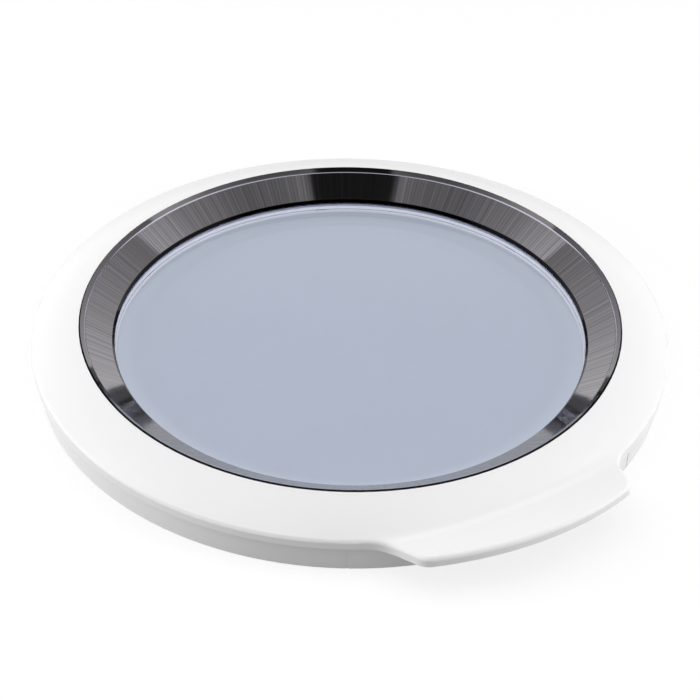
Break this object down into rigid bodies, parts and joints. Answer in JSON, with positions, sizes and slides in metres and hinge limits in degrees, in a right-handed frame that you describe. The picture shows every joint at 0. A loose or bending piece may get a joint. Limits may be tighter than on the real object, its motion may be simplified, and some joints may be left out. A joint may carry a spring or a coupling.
{
  "type": "dryer door front panel",
  "caption": "Round front half of a tumble-dryer door: white moulded ring with a pull tab, dark metallised trim ring and a tinted window dish.",
  "frame": {"origin": "on the ring's axis, in the plane of the skirt's back edge", "axes": "+Z out of the door's front, +X along the pull tab"},
  "size_m": [0.5216, 0.4864, 0.0442],
  "materials": {
    "white_plastic": "satin gloss",
    "dark_trim": "dark metallised, reeded",
    "tinted_window": "clear acrylic, blue-grey tint",
    "screw_steel": "zinc plated"
  },
  "bodies": {
    "root": {"outer_frame": "white_plastic", "trim_ring": "dark_trim", "window_dish": "tinted_window", "trim_screws": "screw_steel"}
  },
  "joints": []
}
